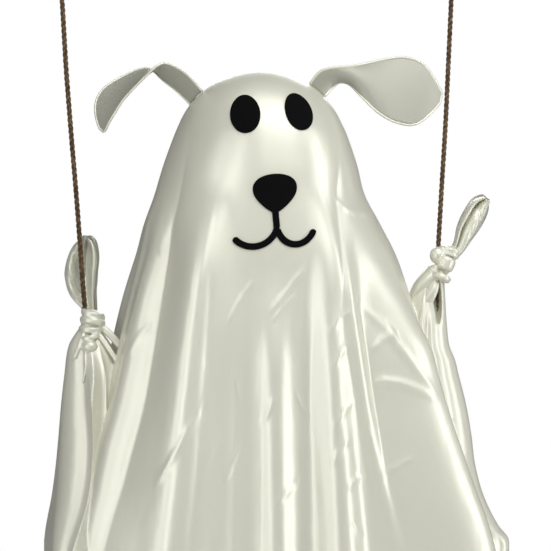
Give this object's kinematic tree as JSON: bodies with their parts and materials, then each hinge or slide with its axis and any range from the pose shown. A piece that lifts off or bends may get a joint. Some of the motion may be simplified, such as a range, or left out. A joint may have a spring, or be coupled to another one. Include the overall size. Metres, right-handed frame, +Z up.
{
  "type": "hanging sheet ghost decoration",
  "caption": "Dog-faced satin sheet ghost on a rope swing: a draped sheet over a ball head and a seat board, its corners knotted round the hanging ropes.",
  "frame": {"origin": "the point it hangs from, midway between the crowns of the rope loops", "axes": "+Z up, -Y the way the face looks, +X towards the ear that spreads out flat"},
  "size_m": [0.5319, 0.2913, 0.8083],
  "materials": {
    "satin": "glossy off-white satin",
    "felt": "matte black felt",
    "rope": "twisted dark brown jute",
    "foam": "white polystyrene foam",
    "pine": "sanded, unpainted pine",
    "steel": "plain steel"
  },
  "bodies": {
    "root": {"head_ball": "foam", "left_ear": "satin", "right_ear": "satin", "left_eye": "felt", "right_eye": "felt", "nose": "felt", "mouth": "felt", "left_loop": "rope", "right_loop": "rope", "left_loop_knot": "rope", "right_loop_knot": "rope", "left_rope": "rope", "right_rope": "rope", "left_stop_knot": "rope", "right_stop_knot": "rope", "post": "pine", "post_screw": "steel", "satin_sheet": "satin", "seat_board": "pine"}
  },
  "joints": []
}
